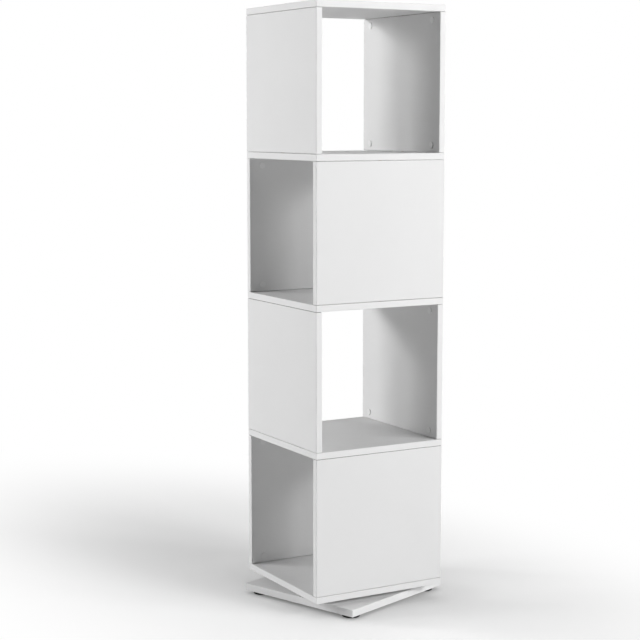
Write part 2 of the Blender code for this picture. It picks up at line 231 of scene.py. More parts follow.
# Countersunk screws and the holes for them. The taper is the corner of the point, as shares of the core's
# radius and of the tip's length
SCREW_HEAD_RADIUS = 0.004
SCREW_HEAD_DEPTH = 0.0024
SCREW_EASE = 0.0001
SCREW_RIM = 0.0003
SCREW_CREST = 0.002
SCREW_CORE = 0.0014
SCREW_PITCH = 0.0018
SCREW_SHANK = 0.001
SCREW_TIP = 0.004
SCREW_TAPER = (0.65, 0.4)
SCREW_RECESS = (0.0028, 0.00055, 0.0016)
SCREW_ROWS = 12
SCREW_SIDES = 48
SCREW_ROWS_PER_TURN = 9
COUNTERSINK_ABOVE = 0.01
COUNTERSINK_BELOW = 0.03
COUNTERSINK_SIDES = 40

# Recesses and threads: share of the width and of the arm over which a recess slopes, half a ridge's width as
# a share of a turn, and the turns over which it fades
RECESS_FLANK = 0.35
RECESS_SLOPE = 0.6
RIDGE_HALF = 0.3
RIDGE_FADE = 0.6

# Glides: corners of the side as (in from the rim, down from the top), and corners of the hollow under the
# nail as (radius, height)
NAIL_RADIUS = 0.0018
GLIDE_DRAFT = 0.0006
GLIDE_SIDE = ((0.0, 0.0), (0.0, 0.0022), (0.0007, 0.0024))
GLIDE_HOLLOW = ((0.0105, 0.0), (0.0095, 0.0008), (0.0058, 0.0008), (0.0048, 0.0022), (NAIL_RADIUS, 0.0022))
GLIDE_ROUNDING = (0.0004, 0.0003, 0.0003, 0.0014, 0.0004, 0.0004, 0.0002, 0.0002)
GLIDE_SIDES = 80

# Nails of the glides: corners of the head as (radius, height above its base), and the length of the point
NAIL_BASE = 0.0014
NAIL_HEAD = ((0.0, 0.0), (0.0045, 0.0004), (0.0045, 0.0008), (NAIL_RADIUS, 0.0018))
NAIL_POINT = 0.004
NAIL_ROUNDING = (0.0002, 0.0002, 0.0003, 0)
NAIL_FILLET_STEPS = 3
NAIL_SIDES = 28

# Meshes: the steps of a rounded corner, the gap between two pieces that touch, how near points are welded,
# how thin a face is dissolved, and the angle from which an edge stays sharp
FILLET_STEPS = 5
PIECE_GAP = 0.00005
WELD_DISTANCE = 0.0000002
SLIVER = 0.000002
SHARP_ANGLE = math.radians(32.0)


def add_node(tree, kind, settings=None, **values):
    """A shader node with its settings and its inputs: a socket is linked, anything else is a plain value.

    An input is given by its name, with _ for each space, or as at0, at1 and so on for its number.
    """
    node = tree.nodes.new("ShaderNode" + kind)
    for key, value in (settings or {}).items():
        setattr(node, key, value)
    for key, value in values.items():
        key = int(key[2:]) if key.startswith("at") else key.replace("_", " ")
        if isinstance(value, bpy.types.NodeSocket):
            tree.links.new(value, node.inputs[key])
        else:
            node.inputs[key].default_value = value
    return node


def arithmetic(tree, operation, *values):
    """One arithmetic node on sockets or plain values."""
    numbered = {f"at{index}": value for index, value in enumerate(values)}
    return add_node(tree, "Math", {"operation": operation}, **numbered).outputs[0]


def blended(tree, share, first, second):
    """first where share is 0, second where it is 1."""
    return add_node(tree, "Mix", {"data_type": "FLOAT"}, at0=share, at2=first, at3=second).outputs[0]


def noise(tree, place, scale, detail=PLAIN_DETAIL):
    """The value of a noise texture at a place."""
    return add_node(tree, "TexNoise", Vector=place, Scale=scale, Detail=detail).outputs[0]


def stretched(tree, value, low, high):
    """A value from 0 to 1, brought to the range from low to high."""
    return add_node(tree, "MapRange", Value=value, To_Min=low, To_Max=high).outputs[0]


def principled(name, metallic=0.0, gloss=PLAIN_GLOSS):
    """A new material, its tree, its Principled shader and the Object coordinates."""
    material = bpy.data.materials.new(name)
    material.use_nodes = True
    tree = material.node_tree
    shader = tree.nodes["Principled BSDF"]
    shader.inputs["Metallic"].default_value = metallic
    shader.inputs["Specular IOR Level"].default_value = gloss
    place = add_node(tree, "TexCoord").outputs["Object"]
    return material, tree, shader, place


def colour_surface(tree, shader, shade, tint, satin, relief, strength, depth):
    """Give the shader its colour (a shade times a tint), its roughness and its fine relief."""
    red, green, blue = [arithmetic(tree, "MULTIPLY", shade, part) for part in tint]
    colour = add_node(tree, "CombineColor", Red=red, Green=green, Blue=blue).outputs[0]
    tree.links.new(colour, shader.inputs["Base Color"])
    tree.links.new(satin, shader.inputs["Roughness"])
    bump = add_node(tree, "Bump", Strength=strength, Distance=depth, Height=relief).outputs[0]
    tree.links.new(bump, shader.inputs["Normal"])


def finish_surface(name, tree, shader, pattern, rubbed, relief):
    """Give the shader the finish of this name: the pattern sets its shade, the rubbed part its roughness."""
    shades, tint, roughness, strength, depth = FINISHES[name]
    shade = stretched(tree, pattern, *shades)
    satin = stretched(tree, rubbed, *roughness)
    colour_surface(tree, shader, shade, tint, satin, relief, strength, depth)


def melamine(name, half_side, banded, turn=0.0, raw_end_and_joint_shade_half=None, layers=None):
    """White melamine board with a matching edge band on the faces across the banded axes.

    Where the half height is given, each tier's panels end in raw chipboard that far above and below their
    middle,
    darker than chipboard is: painted shade in the joints with the boards.
    layers gives the height of the lowest board's middle, the height from board to board and half the
    thickness: further inside a board than SKIN, in its holes, it is raw chipboard.
    """
    material, tree, shader, place = principled(name, gloss=MELAMINE_GLOSS)
    turned = add_node(tree, "Mapping", Vector=place, Rotation=(0.0, 0.0, -turn)).outputs[0]
    axes = add_node(tree, "SeparateXYZ", Vector=turned).outputs
    inset = None
    for axis in banded:
        reach = arithmetic(tree, "SUBTRACT", half_side, arithmetic(tree, "ABSOLUTE", axes["XY".index(axis)]))
        inset = reach if inset is None else arithmetic(tree, "MINIMUM", inset, reach)
    band = arithmetic(tree, "LESS_THAN", inset, BAND_THICKNESS)
    seam_distance = arithmetic(tree, "ABSOLUTE", arithmetic(tree, "SUBTRACT", inset, BAND_THICKNESS))
    seam = arithmetic(tree, "LESS_THAN", seam_distance, SEAM_WIDTH / 2)
    grain = noise(tree, turned, GRAIN_SCALE, FINE_DETAIL)
    face = stretched(tree, noise(tree, turned, CLOUD_SCALE), *FACE_SHADES)
    shade = blended(tree, seam, blended(tree, band, face, BAND_SHADE), SEAM_SHADE)
    if raw_end_and_joint_shade_half is not None:
        # The panels' ends: raw chipboard, darkened past its own colour as painted shade in the joints
        beyond = arithmetic(tree, "SUBTRACT", axes[2], TIER_MIDDLE)
        fraction = arithmetic(tree, "PINGPONG", beyond, TIER_PITCH / 2)
        raw_and_joint_shade = arithmetic(tree, "GREATER_THAN", fraction, raw_end_and_joint_shade_half)
        shade = blended(tree, raw_and_joint_shade, shade, stretched(tree, grain, *RAW_END_AND_JOINT_SHADES))
    tint = WHITE
    if layers is not None:
        middle, pitch, half_thickness = layers
        height = arithmetic(tree, "PINGPONG", arithmetic(tree, "SUBTRACT", axes[2], middle), pitch / 2)
        below_face = arithmetic(tree, "LESS_THAN", height, half_thickness - SKIN)
        raw_and_joint_shade = arithmetic(tree, "MULTIPLY", below_face, arithmetic(tree, "GREATER_THAN", inset, SKIN))
        shade = blended(tree, raw_and_joint_shade, shade, stretched(tree, grain, *RAW_WALL_SHADES))
        tint = [blended(tree, raw_and_joint_shade, 1.0, part) for part in CHIPBOARD_TINT]
    satin = stretched(tree, grain, *MELAMINE_ROUGHNESS)
    colour_surface(tree, shader, shade, tint, satin, grain, *MELAMINE_RELIEF)
    return material


def moulded_plastic(name, grain_scale, gloss=PLAIN_GLOSS):
    """Moulded plastic with a fine spark-eroded grain."""
    material, tree, shader, place = principled(name, gloss=gloss)
    grain = noise(tree, place, grain_scale, FINE_DETAIL)
    cloud = noise(tree, place, grain_scale / CLOUD_PER_GRAIN)
    finish_surface(name, tree, shader, cloud, grain, grain)
    return material


def turned_aluminium():
    """Aluminium turned on a lathe, with fine grooves round the turning axis."""
    material, tree, shader, place = principled("turned_aluminium", metallic=1.0)
    axes = add_node(tree, "SeparateXYZ", Vector=place).outputs
    squares = [arithmetic(tree, "MULTIPLY", axes[index], axes[index]) for index in (0, 1)]
    radius = arithmetic(tree, "SQRT", arithmetic(tree, "ADD", *squares))
    rings = add_node(tree, "CombineXYZ", X=radius, Z=axes[2]).outputs[0]
    groove = noise(tree, rings, GROOVE_SCALE)
    finish_surface("turned_aluminium", tree, shader, noise(tree, place, ALUMINIUM_CLOUDS), groove, groove)
    return material


def zinc_plate():
    """Zinc-plated steel: fine crystalline mottle and faint scuffs."""
    material, tree, shader, place = principled("zinc_plate", metallic=1.0)
    crystal = add_node(tree, "TexVoronoi", Vector=place, Scale=CRYSTAL_SCALE).outputs["Distance"]
    finish_surface("zinc_plate", tree, shader, crystal, noise(tree, place, ZINC_CLOUDS), crystal)
    return material


def beech():
    """Turned beech, with its fine grain along Z."""
    material, tree, shader, place = principled("beech")
    fibres = add_node(tree, "Mapping", Vector=place, Scale=(1.0, 1.0, FIBRE_STRETCH)).outputs[0]
    grain = noise(tree, fibres, FIBRE_SCALE, FINE_DETAIL)
    finish_surface("beech", tree, shader, grain, grain, grain)
    return material


def unit(vector):
    """A vector of length 1 in the same direction."""
    return vector / np.linalg.norm(vector)


def filleted(points, radii, steps=FILLET_STEPS):
    """A profile whose inner corners become arcs of the given radii.

    At a corner whose half angle is h, an arc of radius r starts r / tan h along each side and has its centre
    r / sin h along the bisector. Its points turn evenly from one side to the other. A radius of 0 keeps the
    corner.
    """
    points = np.array(points, float)
    share = np.linspace(0.0, 1.0, steps + 1)[:, None]
    rows = [points[:1]]
    for before, corner, after, radius in zip(points[:-2], points[1:-1], points[2:], radii):
        if not radius:
            rows.append(corner[None])
            continue
        first, last = unit(before - corner), unit(after - corner)
        half = math.acos(first @ last) / 2
        centre = corner + unit(first + last) * radius / math.sin(half)
        start = corner + first * radius / math.tan(half) - centre
        end = corner + last * radius / math.tan(half) - centre
        sweep = math.pi - 2 * half
        arc = (np.sin((1 - share) * sweep) * start + np.sin(share * sweep) * end) / math.sin(sweep)
        rows.append(centre + arc)
    rows.append(points[-1:])
    return np.concatenate(rows)


def lathe(profile, sides):
    """A turned surface: (r cos a, r sin a, z) for each (r, z) of the profile and each angle a."""
    profile = np.array(profile, float)
    angle = np.arange(sides) * math.tau / sides
    radius = profile[:, :1]
    height = np.broadcast_to(profile[:, 1:], (len(profile), sides))
    return np.stack([radius * np.cos(angle), radius * np.sin(angle), height], axis=2)


def cross_recess(x, y, arm, width, depth):
    """Depth of a cross recess at (x, y): full near an axis, falling to 0 at its width and the arm's end."""
    across = np.clip((width - np.minimum(abs(x), abs(y))) / (RECESS_FLANK * width), 0, 1)
    along = np.clip((arm - np.maximum(abs(x), abs(y))) / (RECESS_SLOPE * arm), 0, 1)
    return depth * across * along


def recessed_disc(radius, sides, rows, recess):
    """A flat disc about (0, 0, 0) with a cross recess: height is minus the recess's depth at each point."""
    reach = np.linspace(0.0, radius, rows)
    disc = lathe(np.stack([reach, np.zeros(rows)], axis=1), sides)
    disc[..., 2] = -cross_recess(disc[..., 0], disc[..., 1], *recess)
    return disc


def thread(core, crest, pitch, top, bottom, sides, rows_per_turn):
    """A threaded rod from top down to bottom.

    At height z and angle a the radius is core + (crest - core) * ridge(z / pitch - a / turn). ridge is a
    triangle, 1 at the middle of each turn and 0 at RIDGE_HALF of a turn from it, and it fades over the ends.
    """
    rows = round((top - bottom) / pitch * rows_per_turn)
    height = np.linspace(top, bottom, rows)[:, None]
    angle = (np.arange(sides) * math.tau / sides)[None]
    phase = (height / pitch - angle / math.tau) % 1.0
    ridge = np.clip(1 - abs(phase - 0.5) / RIDGE_HALF, 0, 1)
    ends = np.clip(np.minimum(top - height, height - bottom) / (RIDGE_FADE * pitch), 0, 1)
    radius = core + (crest - core) * ridge * ends
    flat = np.broadcast_to(height, radius.shape)
    return np.stack([radius * np.cos(angle), radius * np.sin(angle), flat], axis=2)


def grid_faces(rows, columns, closed):
    """The four-sided faces of a grid whose columns join up, and whose rows do too where closed is true."""
    row = np.arange(rows if closed else rows - 1)[:, None]
    column = np.arange(columns)[None]
    below = (row + 1) % rows
    beside = (column + 1) % columns
    first, last = row * columns, below * columns
    return np.stack([first + column, last + column, last + beside, first + beside], axis=-1).reshape(-1, 4)


def mesh_of(name, grids, place=None, closed=False):
    """One mesh of closed shells, each a grid of points. Poles and seams are welded, faces turned outwards."""
    points, faces, count = [], [], 0
    for grid in grids:
        rows, columns = grid.shape[:2]
        faces.append(grid_faces(rows, columns, closed) + count)
        points.append(grid.reshape(-1, 3))
        count += rows * columns
    mesh = bpy.data.meshes.new(name)
    mesh.from_pydata(np.concatenate(points).tolist(), [], np.concatenate(faces).tolist())
    if place is not None:
        mesh.transform(place)
    form = bmesh.new()
    form.from_mesh(mesh)
    bmesh.ops.remove_doubles(form, verts=form.verts, dist=WELD_DISTANCE)
    bmesh.ops.recalc_face_normals(form, faces=form.faces)
    form.to_mesh(mesh)
    form.free()
    return soften(mesh)


def soften(mesh):
    """Shade the round faces of a mesh smooth and keep its sharp edges."""
    mesh.shade_smooth()
    mesh.set_sharp_from_angle(angle=SHARP_ANGLE)
    return mesh


def link(name, mesh):
    """A new object with the mesh, in the scene."""
    obj = bpy.data.objects.new(name, mesh)
    bpy.context.scene.collection.objects.link(obj)
    return obj


def add_piece(name, mesh, material, slot, *nodes):
    """A finished piece that rides with the body of the nodes that it replaces."""
    piece = link(name, mesh)
    mesh.materials.clear()
    mesh.materials.append(material)
    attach(piece, BODY_OF[nodes[0]])
    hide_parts(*nodes)


def cut(mesh, cutters):
    """The mesh with the cutters' shapes taken out of it."""
    blank = link("blank", mesh)
    tools = [link("cutter", cutter) for cutter in cutters]
    for tool in tools:
        boolean = blank.modifiers.new("cut", "BOOLEAN")
        boolean.operation = "DIFFERENCE"
        boolean.solver = "EXACT"
        boolean.object = tool
    bpy.context.view_layer.update()
    graph = bpy.context.evaluated_depsgraph_get()
    result = bpy.data.meshes.new_from_object(blank.evaluated_get(graph))
    for obj in (blank, *tools):
        bpy.data.objects.remove(obj)
    form = bmesh.new()
    form.from_mesh(result)
    bmesh.ops.dissolve_degenerate(form, dist=SLIVER, edges=form.edges)
    form.to_mesh(result)
    form.free()
    return soften(result)


def named(text):
    """Each of the frame's nodes whose name holds the text, with the low and the high corner of its box."""
    return [(name, *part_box(name)) for name in NODES if text in name]


def above_middle(low, high, height):
    """The place at this height over the middle of a box."""
    return Matrix.Translation(((low.x + high.x) / 2, (low.y + high.y) / 2, height))


def overturned(upside_down):
    """Half a turn about X where upside_down is true, and else none."""
    return Matrix.Rotation(math.pi if upside_down else 0.0, 4, "X")


def rounded_ring(half_x, half_y, inset, growth, height):
    """One closed row of a board: a rectangle, inset on each side, its corners arcs of the radius growth."""
    turn = np.linspace(0.0, math.pi / 2, ROUND_STEPS + 1)
    row = []
    for index, (side_x, side_y) in enumerate(((1, 1), (-1, 1), (-1, -1), (1, -1))):
        corner = np.array([side_x * (half_x - inset), side_y * (half_y - inset)])
        angle = turn + index * math.pi / 2
        arc = corner + growth * np.stack([np.cos(angle), np.sin(angle)], axis=1)
        along = np.array([-np.sin(angle), np.cos(angle)]) * FLAT_STRIP
        row.append(np.concatenate([[arc[0] - along[:, 0]], arc, [arc[-1] + along[:, -1]]]))
    row = np.concatenate(row)
    return np.column_stack([row, np.full(len(row), height)])


def board_grid(half):
    """A board about (0, 0, 0) with every edge rounded: a smaller box, grown by a ball of the radius ROUNDING.

    At the angle t the outline is grown by ROUNDING * cos t, at the height of the smaller box plus
    ROUNDING * sin t. The middles of the two large faces are poles.
    """
    core = np.array(half) - ROUNDING
    rows = []
    for side in (-1, 1):
        end = []
        for turn in np.linspace(0.0, math.pi / 2, ROUND_STEPS + 1):
            height = side * (core[2] + ROUNDING * math.sin(turn))
            end.append(rounded_ring(core[0], core[1], 0.0, ROUNDING * math.cos(turn), height))
        flat = rounded_ring(core[0], core[1], 0.0, ROUNDING, side * (core[2] - FLAT_STRIP))
        rim = rounded_ring(core[0], core[1], FLAT_STRIP, 0.0, side * half[2])
        pole = np.tile([0.0, 0.0, side * half[2]], (len(rim), 1))
        end = [flat, *end, rim, pole]
        rows += end[::-1] if side < 0 else end
    return np.stack(rows)


def fitting_layout(name):
    """A cam fitting's place (its cam's axis, halfway through the panel), its cap's direction, its bolt's end.

    The cap faces the axis of the stack, and the bolt points the way that the box reaches past the cap.
    """
    low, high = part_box(name)
    panel_low, panel_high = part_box(name.split("_cam_")[0] + "_panel")
    place = (panel_low + panel_high) / 2
    towards = Vector((-place.x, -place.y, 0.0)).normalized()
    across = "y" if abs(towards.x) > abs(towards.y) else "x"
    setattr(place, across, (getattr(low, across) + getattr(high, across)) / 2)
    upwards = "_top_" in name
    place.z = low.z + CAP_RADIUS if upwards else high.z - CAP_RADIUS
    return place, towards, high.z if upwards else low.z


def round_hole(place, radius, start, end):
    """A cutter's grid: an upright cylinder round a place, longer at both ends and wider by SEAT_GAP."""
    low = min(start, end) - SEAT_GAP
    high = max(start, end) + SEAT_GAP
    wall = radius + SEAT_GAP
    grid = lathe([(0.0, high), (wall, high), (wall, low), (0.0, low)], HOLE_SIDES)
    return grid + np.array([place.x, place.y, 0.0])


def cam_pocket(place, towards):
    """A cutter's grid: the round pocket of a cam, from past the panel's inner face to under the cam."""
    wall = CAM_RADIUS + SEAT_GAP
    floor = PANEL_THICKNESS / 2 - CAM_DEPTH - 2 * SEAT_GAP
    mouth = PANEL_THICKNESS
    grid = lathe([(0.0, mouth), (wall, mouth), (wall, floor), (0.0, floor)], POCKET_SIDES)
    facing = np.array(towards.to_track_quat("Z", "Y").to_matrix())
    return grid @ facing.T + np.array(place)


def board_holes():
    """Cutters' grids for each board and panel: its upright holes, and the pockets of its cams."""
    boxes = {name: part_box(name) for name in NODES}
    upright = {name: [] for name in NODES}
    pockets = {name: [] for name in NODES}

    def drill(panel, place, radius, start, end):
        """One hole in a panel and on into the board that its end lies in."""
        hole = round_hole(place, radius, start, end)
        upright[panel].append(hole)
        for board in BOARDS:
            if boxes[board][0].z < end < boxes[board][1].z:
                upright[board].append(hole)

    for name, (low, high) in boxes.items():
        middle = (low + high) / 2
        if "_cam_" in name:
            panel = name.split("_cam_")[0] + "_panel"
            place, towards, end = fitting_layout(name)
            drill(panel, place, BOLT_RADIUS, place.z, end)
            pockets[panel].append(cam_pocket(place, towards))
        elif name.endswith("_panel"):
            drill(name, middle, DOWEL_RADIUS, high.z - DOWEL_LENGTH, high.z)
            drill(name, middle, DOWEL_RADIUS, low.z + DOWEL_LENGTH, low.z)
        elif name.startswith("upper_screw"):
            upright["bottom_board"].append(round_hole(middle, SCREW_CREST, low.z, high.z))
        elif name.startswith("lower_screw"):
            upright["base_plate"].append(round_hole(middle, SCREW_CREST, low.z, high.z))
        elif name.startswith("glide"):
            upright["base_plate"].append(round_hole(middle, NAIL_RADIUS, low.z, high.z))
    circle = RACE_RADIUS + (RING_SPACING + RING_WIDTH) / 2
    access = Vector((-circle * math.cos(BASE_TURN), -circle * math.sin(BASE_TURN), 0.0))
    stack_bottom = boxes["bottom_board"][0].z
    upright["base_plate"].append(round_hole(access, ACCESS_RADIUS - SEAT_GAP, 0.0, stack_bottom))
    return upright, pockets


def layers_from(node, pitch):
    """The height of a board's middle, the height from it to the next such board, and half its thickness."""
    low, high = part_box(node)
    return (low.z + high.z) / 2, pitch, (high.z - low.z) / 2


def add_boards():
    """The boards, the panels and the base plate in melamine, with an edge band where the board was cut.

    They are as large as the frame's, but every edge is rounded, so that each joint shows as a fine groove.
    """
    low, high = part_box("top_board")
    half_side = (high.x - low.x) / 2
    low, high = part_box("base_plate")
    base_half = (high.x - low.x) / 2 / (math.cos(BASE_TURN) + math.sin(BASE_TURN))
    # How far from a tier's middle the panels' ends turn to raw chipboard, darkened as painted shade in the
    # joints
    low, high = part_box("tier1_left_panel")
    raw_end_and_joint_shade_half = (high.z - low.z) / 2 - DOWEL_REACH - JOINT_GAP - CORE_DEPTH
    board = melamine("board_melamine", half_side, "XY", layers=layers_from("bottom_board", TIER_PITCH))
    base = melamine("base_melamine", base_half, "XY", BASE_TURN, layers=layers_from("base_plate", LONE_PITCH))
    side_panel = melamine("side_panel_melamine", half_side, "Y", raw_end_and_joint_shade_half=raw_end_and_joint_shade_half)
    front_panel = melamine("front_panel_melamine", half_side, "X", raw_end_and_joint_shade_half=raw_end_and_joint_shade_half)
    upright, pockets = board_holes()
    for name in NODES:
        low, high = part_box(name)
        half = (high - low) / 2
        place = Matrix.Translation((low + high) / 2)
        if name in BOARDS:
            material = board
        elif name.endswith("_panel"):
            material = side_panel if name.endswith(("left_panel", "right_panel")) else front_panel
            half.z -= DOWEL_REACH + JOINT_GAP
        elif name == "base_plate":
            material = base
            half = Vector((base_half, base_half, half.z))
            place = place @ Matrix.Rotation(BASE_TURN, 4, "Z")
        else:
            continue
        cutters = [mesh_of("holes", grids) for grids in (pockets[name], upright[name]) if grids]
        mesh = cut(mesh_of(name, [board_grid(half)], place), cutters)
        add_piece(name + "_melamine", mesh, material, "white_board", name)


def dowel_grid():
    """A fluted dowel about (0, 0, 0), upright, with eased ends.

    At the angle a it is narrower by FLUTE_DEPTH * ((1 + cos(DOWEL_FLUTES * a)) / 2) ** 3.
    """
    half = DOWEL_LENGTH / 2
    eased = DOWEL_RADIUS - DOWEL_EASE
    shoulder = half - DOWEL_EASE
    profile = [(0.0, half), (eased, half), (DOWEL_RADIUS, shoulder), (DOWEL_RADIUS, -shoulder),
               (eased, -half), (0.0, -half)]
    sides = SIDES_PER_FLUTE * DOWEL_FLUTES
    flute = FLUTE_DEPTH * ((1 + np.cos(DOWEL_FLUTES * np.arange(sides) * math.tau / sides)) / 2) ** 3
    dowel = lathe(profile, sides)
    dowel[..., :2] *= (1 - flute / DOWEL_RADIUS)[None, :, None]
    return dowel


def add_dowels():
    """The beech dowel in the middle of each end of each panel."""
    wood = beech()
    for name, low, high in named("_panel"):
        for end, height in (("top", high.z - DOWEL_LENGTH / 2), ("bottom", low.z + DOWEL_LENGTH / 2)):
            mesh = mesh_of("dowel", [dowel_grid()], above_middle(low, high, height))
            add_piece(name.replace("_panel", "_dowel_" + end), mesh, wood, "white_board", name)


def cap_grid():
    """A cover cap facing +Z, its back at height 0: a low dome, a rounded rim, an undercut side and a spigot.

    The dome's height falls with the square of the radius, from the full height to the crown's depth below it.
    """
    reach = np.linspace(0.0, CAP_RADIUS - CAP_EDGE, CAP_ROWS)
    dome = np.stack([reach, CAP_HEIGHT - CAP_CROWN * (reach / CAP_RADIUS) ** 2], axis=1)
    corners = [dome[-1], (CAP_RADIUS, dome[-1, 1]), (CAP_FOOT, 0.0), *CAP_SPIGOT]
    return lathe(np.concatenate([dome[:-1], filleted(corners, CAP_ROUNDING)]), CAP_SIDES)


def cam_grid():
    """The cam facing +Z, its face at height 0: a cross recess, a waist that grips the bolt, and a floor."""
    disc = recessed_disc(CAM_RADIUS - CAM_EASE, CAM_SIDES, CAM_ROWS, CAM_RECESS)
    body = filleted(CAM_OUTLINE, CAM_ROUNDING, CAM_FILLET_STEPS)
    return np.concatenate([disc, lathe(body[1:], CAM_SIDES)])


def bolt_grid(length):
    """The cam's bolt along +Z from a ball head at height 0: a neck, a collar, and a thread in the board."""
    start = length - BOLT_REACH
    shaft = [*BOLT_HEAD, *((radius, start - before) for radius, before in BOLT_COLLAR)]
    turns = thread(BOLT_CORE, BOLT_RADIUS, BOLT_PITCH, length - BOLT_TIP_LENGTH, start, BOLT_SIDES,
                   BOLT_ROWS_PER_TURN)
    tip = [(BOLT_TIP_RADIUS, length), (0.0, length)]
    return np.concatenate([lathe(shaft, BOLT_SIDES), turns[::-1], lathe(tip, BOLT_SIDES)])


def add_fittings(zinc):
    """A cover cap, a cam and its bolt for each of the frame's cam fittings."""
    plastic = moulded_plastic("cap_plastic", CAP_GRAIN)
    for name, _, _ in named("_cam_"):
        middle, towards, end = fitting_layout(name)
        facing = towards.to_track_quat("Z", "Y").to_matrix().to_4x4()
        on_face = Matrix.Translation(middle + towards * (PANEL_THICKNESS / 2)) @ facing
        points = Matrix.Translation(middle) @ overturned(end < middle.z)
        cap = mesh_of("cap", [cap_grid()], on_face @ Matrix.Translation((0.0, 0.0, PIECE_GAP)))
        cam = mesh_of("cam", [cam_grid()], on_face @ Matrix.Translation((0.0, 0.0, -CAM_SINK)))
        bolt = mesh_of("bolt", [bolt_grid(abs(end - middle.z))], points)
        add_piece(name.replace("_cam_", "_cap_"), cap, plastic, "white_cap", name)
        add_piece(name.replace("_cam_", "_camlock_"), cam, zinc, "zinc_steel", name)
        add_piece(name.replace("_cam_", "_bolt_"), bolt, zinc, "zinc_steel", name)


def screw_grid(length):
    """A countersunk screw pointing along -Z with its head's face at height 0.

    The face has a cross recess, the head narrows to the core, the thread runs down, and the tip narrows to a
    point.
    """
    disc = recessed_disc(SCREW_HEAD_RADIUS - SCREW_EASE, SCREW_SIDES, SCREW_ROWS, SCREW_RECESS)
    neck = [(SCREW_HEAD_RADIUS, -SCREW_EASE), (SCREW_HEAD_RADIUS, -SCREW_RIM),
            (SCREW_CREST, -SCREW_HEAD_DEPTH)]
    turns = thread(SCREW_CORE, SCREW_CREST, SCREW_PITCH, -SCREW_HEAD_DEPTH - SCREW_SHANK, SCREW_TIP - length,
                   SCREW_SIDES, SCREW_ROWS_PER_TURN)
    taper_radius, taper_height = SCREW_TAPER
    tip = [(taper_radius * SCREW_CORE, taper_height * SCREW_TIP - length), (0.0, -length)]
    return np.concatenate([disc, lathe(neck, SCREW_SIDES), turns, lathe(tip, SCREW_SIDES)])


def add_screws(zinc):
    """The countersunk screws of the turntable, pointing up into the stack or down into the base plate."""
    for name, low, high in named("_screw_"):
        upwards = name.startswith("upper")
        place = above_middle(low, high, low.z if upwards else high.z) @ overturned(upwards)
        mesh = mesh_of("screw", [screw_grid(high.z - low.z)], place)
        add_piece(name.replace("_screw_", "_wood_screw_"), mesh, zinc, "zinc_steel", name)


def ring_grid(node, outer):
    """A race ring: a flat ring with eased edges, and a groove for the balls in the wall by the other ring.

    The groove is the arc of radius g about the race's centre line that lies outside the wall, from the angle
    whose cosine is half the rings' spacing over g, above that line, to the same angle below it.
    """
    low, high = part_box(node)
    other_low, other_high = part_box("turntable_inner_ring" if outer else "turntable_outer_ring")
    race_height = (low.z + high.z + other_low.z + other_high.z) / 4
    side = 1 if outer else -1
    wall = RACE_RADIUS + side * RING_SPACING / 2
    rim = wall + side * RING_WIDTH
    groove = BALL_RADIUS + GROOVE_CLEARANCE
    opening = math.acos(RING_SPACING / 2 / groove)
    turn = np.linspace(opening, -opening, GROOVE_STEPS + 1)
    arc = np.stack([RACE_RADIUS + side * groove * np.cos(turn), race_height + groove * np.sin(turn)], axis=1)
    rim_middle = (rim, (low.z + high.z) / 2)
    eases = (RING_EASE, RING_EASE)
    upper = filleted([arc[0], (wall, high.z), (rim, high.z), rim_middle], eases, RING_FILLET_STEPS)
    lower = filleted([rim_middle, (rim, low.z), (wall, low.z), arc[-1]], eases, RING_FILLET_STEPS)
    return lathe(np.concatenate([upper, lower[1:], arc[-2:0:-1]]), RING_SIDES)


def countersink(place):
    """A cutter for one screw's hole: wide above height 0, narrowing to the shank, then straight down."""
    head = SCREW_HEAD_RADIUS + SCREW_EASE
    shank = SCREW_CREST + SEAT_GAP
    profile = [(0.0, COUNTERSINK_ABOVE), (head, COUNTERSINK_ABOVE), (head, -SCREW_EASE),
               (shank, -SCREW_HEAD_DEPTH), (shank, -COUNTERSINK_BELOW), (0.0, -COUNTERSINK_BELOW)]
    return mesh_of("countersink", [lathe(profile, COUNTERSINK_SIDES)], place)


def add_rings():
    """The two race rings, each with a countersunk hole for each of its screws."""
    aluminium = turned_aluminium()
    for node, outer, prefix in (("turntable_outer_ring", True, "upper_screw_"),
                                ("turntable_inner_ring", False, "lower_screw_")):
        cutters = [countersink(above_middle(low, high, low.z if outer else high.z) @ overturned(outer))
                   for _, low, high in named(prefix)]
        blank = mesh_of(node + "_blank", [ring_grid(node, outer)], closed=True)
        add_piece(node.replace("turntable", "race"), cut(blank, cutters), aluminium, "aluminium", node)


